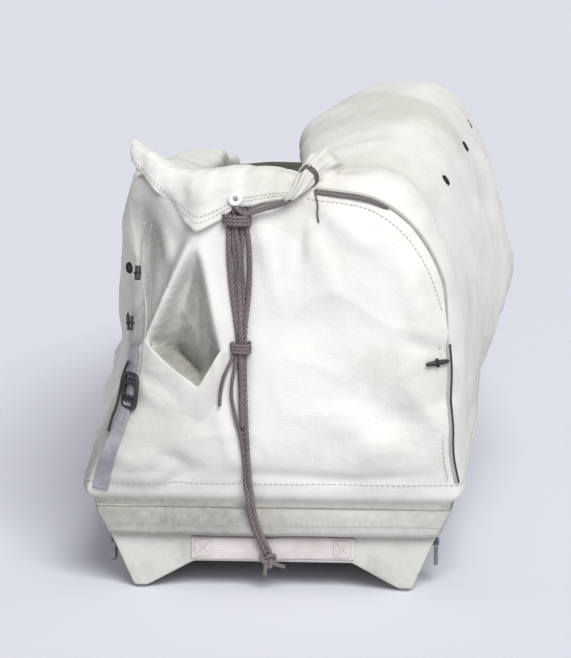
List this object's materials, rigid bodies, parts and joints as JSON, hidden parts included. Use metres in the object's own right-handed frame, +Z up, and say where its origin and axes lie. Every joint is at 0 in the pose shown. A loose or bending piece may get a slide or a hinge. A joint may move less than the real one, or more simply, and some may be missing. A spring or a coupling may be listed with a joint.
{
  "type": "cargo sled",
  "caption": "Scow-shaped hauling sled: moulded tray hull with runner feet and rising bow, tall laced canvas cover, tow ring and stern drag rings.",
  "frame": {"origin": "On the floor under the middle of the sled's box", "axes": "+Y to the bow, +X to the sled's right, +Z up"},
  "size_m": [0.675, 2.3597, 0.726],
  "materials": {
    "fibreglass": "white moulded fibreglass, scuffed",
    "rail": "white moulded edge channel",
    "shoe": "worn wear strip",
    "steel": "zinc plated steel",
    "webbing": "faded red and grey webbing",
    "buckle": "black moulded buckle",
    "rope": "worn brown laid rope",
    "canvas": "white cotton duck canvas, dirty at the hem"
  },
  "bodies": {
    "root": {"hull_shell": "fibreglass", "gunwale_left": "rail", "gunwale_right": "rail", "transom_rail": "rail", "bow_rail": "rail", "runner_shoe_left": "shoe", "runner_shoe_right": "shoe", "bow_tow_plate": "steel", "stern_clip_left": "steel", "stern_clip_right": "steel", "cover_rear": "canvas", "cover_left": "canvas", "cover_right": "canvas", "cover_deck": "canvas", "cover_collar": "canvas", "cover_corner_fold": "canvas", "side_strap_left": "webbing", "side_buckle_left": "buckle", "transom_strap": "webbing", "lashing_rope": "rope"},
    "tow_ring": {"bow_tow_ring": "steel"},
    "drag_ring_left": {"stern_ring_left": "steel"},
    "drag_ring_right": {"stern_ring_right": "steel"}
  },
  "joints": [
    {"name": "tow_ring_swing", "type": "hinge", "parent": "root", "child": "tow_ring", "pos_m": [-0.02084, 1.15025, 0.27], "axis": [1, 0, 0], "range_deg": [-10, 170]},
    {"name": "drag_ring_left_swing", "type": "hinge", "parent": "root", "child": "drag_ring_left", "pos_m": [-0.28186, -1.07075, 0.06899], "axis": [0, 1, 0], "range_deg": [-20, 120]},
    {"name": "drag_ring_right_swing", "type": "hinge", "parent": "root", "child": "drag_ring_right", "pos_m": [0.24018, -1.07075, 0.06899], "axis": [0, -1, 0], "range_deg": [-20, 120]}
  ]
}
